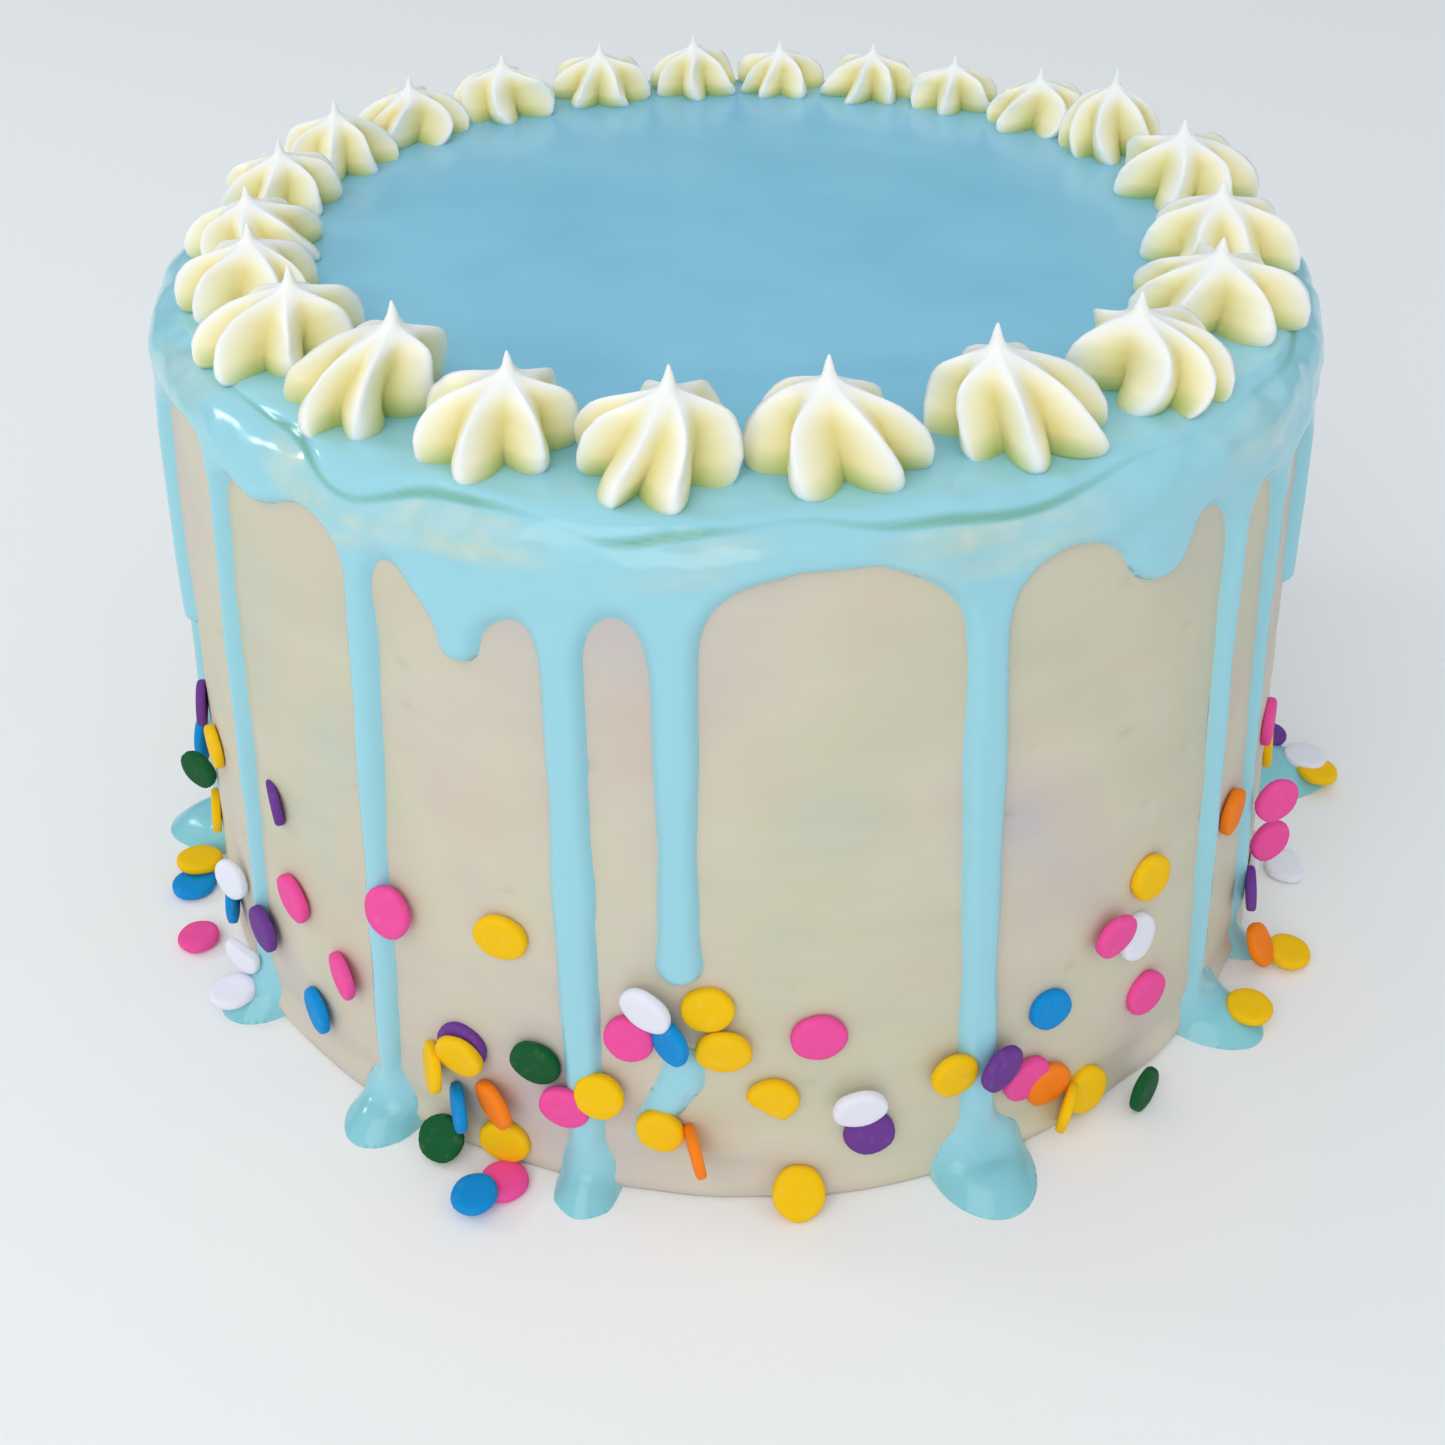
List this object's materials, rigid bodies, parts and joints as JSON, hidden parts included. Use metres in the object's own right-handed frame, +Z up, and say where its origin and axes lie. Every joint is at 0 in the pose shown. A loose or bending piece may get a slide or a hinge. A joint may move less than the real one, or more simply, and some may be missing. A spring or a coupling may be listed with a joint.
{
  "type": "birthday cake",
  "caption": "Tall round frosted cake with a poured glaze that drips down the side, a ring of piped stars round the rim and confetti sprinkles at the foot.",
  "frame": {"origin": "centre of the flat underside of the cake, on the surface that it stands on", "axes": "+Z up through the centre of the cake; -Y towards the front; +X to the right as seen from the front"},
  "size_m": [0.1747, 0.1644, 0.0993],
  "materials": {
    "buttercream_side": "soft matt buttercream, smoothed with a palette knife",
    "poured_glaze": "glossy poured sugar glaze, slightly translucent",
    "piped_buttercream": "soft satin piped buttercream"
  },
  "bodies": {
    "root": {"cake": "buttercream_side", "glaze": "poured_glaze", "star_01": "piped_buttercream", "star_02": "piped_buttercream", "star_03": "piped_buttercream", "star_04": "piped_buttercream", "star_05": "piped_buttercream", "star_06": "piped_buttercream", "star_07": "piped_buttercream", "star_08": "piped_buttercream", "star_09": "piped_buttercream", "star_10": "piped_buttercream", "star_11": "piped_buttercream", "star_12": "piped_buttercream", "star_13": "piped_buttercream", "star_14": "piped_buttercream", "star_15": "piped_buttercream", "star_16": "piped_buttercream", "star_17": "piped_buttercream", "star_18": "piped_buttercream", "star_19": "piped_buttercream", "star_20": "piped_buttercream", "star_21": "piped_buttercream", "star_22": "piped_buttercream", "star_23": "piped_buttercream"}
  },
  "joints": []
}
